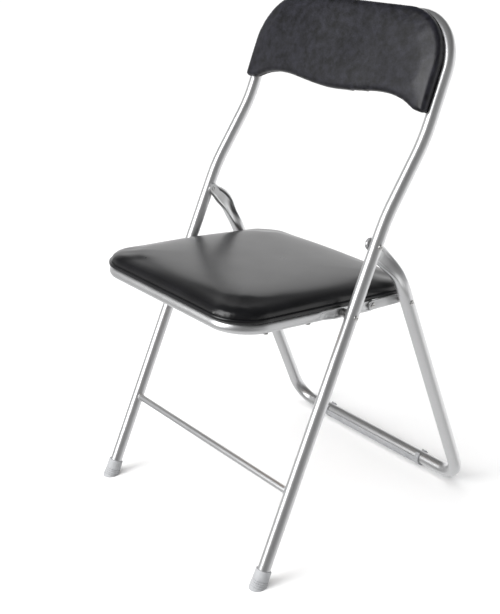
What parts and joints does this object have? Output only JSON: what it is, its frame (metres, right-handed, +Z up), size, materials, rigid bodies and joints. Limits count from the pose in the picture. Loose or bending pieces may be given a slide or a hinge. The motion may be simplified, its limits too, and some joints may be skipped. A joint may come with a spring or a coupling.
{
  "type": "folding chair",
  "caption": "Folding metal chair with a padded seat, a padded back rest with a waved lower edge, U-shaped rear legs and flat link plates that fold it flat.",
  "frame": {"origin": "on the floor, under the middle of the bounding box of the open chair", "axes": "+Z up, X across the seat, and the sitter faces -Y"},
  "size_m": [0.447, 0.4734, 0.8172],
  "materials": {
    "silver_paint": "satin silver",
    "rivet_steel": "plated",
    "black_vinyl": "fine grain, semi-gloss",
    "grey_plastic": "moulded, matt",
    "board_wood": "bare fibreboard"
  },
  "bodies": {
    "frame": {"main_frame": "silver_paint", "front_stretcher": "silver_paint", "foot_cap_right": "grey_plastic", "foot_cap_left": "grey_plastic", "back_board": "board_wood", "back_pad": "black_vinyl", "back_screw_1": "rivet_steel", "back_screw_2": "rivet_steel", "back_screw_3": "rivet_steel", "back_screw_4": "rivet_steel", "top_pivot_rivet_right": "rivet_steel", "top_pivot_rivet_left": "rivet_steel", "seat_pivot_rivet_right": "rivet_steel", "seat_pivot_rivet_left": "rivet_steel", "seat_pivot_spacer_right": "rivet_steel", "seat_pivot_spacer_left": "rivet_steel"},
    "seat": {"seat_frame": "silver_paint", "seat_board": "board_wood", "seat_pad": "black_vinyl", "seat_screw_1": "rivet_steel", "seat_screw_2": "rivet_steel", "seat_screw_3": "rivet_steel", "seat_screw_4": "rivet_steel", "seat_tube_stud_right": "rivet_steel", "seat_tube_stud_left": "rivet_steel"},
    "rear_legs": {"rear_leg_frame": "silver_paint", "rear_glide": "grey_plastic", "link_rear_rivet_right": "rivet_steel", "link_rear_rivet_left": "rivet_steel", "link_rear_spacer_right": "rivet_steel", "link_rear_spacer_left": "rivet_steel"},
    "links": {"link_plate_right": "silver_paint", "link_plate_left": "silver_paint", "link_front_rivet_right": "rivet_steel", "link_front_rivet_left": "rivet_steel"}
  },
  "joints": [
    {"name": "seat_fold", "type": "hinge", "parent": "frame", "child": "seat", "pos_m": [0, -0.03482, 0.3865], "axis": [-1, 0, 0], "range_deg": [0, 110]},
    {"name": "rear_leg_fold", "type": "hinge", "parent": "frame", "child": "rear_legs", "pos_m": [0, 0.01327, 0.486], "axis": [-1, 0, 0], "range_deg": [0, 43.4]},
    {"name": "link_swing", "type": "hinge", "parent": "rear_legs", "child": "links", "pos_m": [0, 0.08228, 0.3795], "axis": [1, 0, 0], "range_deg": [0, 78.1]}
  ],
  "couplings": [
    {"joint": "rear_leg_fold", "follows": "seat_fold", "ratio": 0.3942},
    {"joint": "link_swing", "follows": "seat_fold", "ratio": 0.7097}
  ]
}
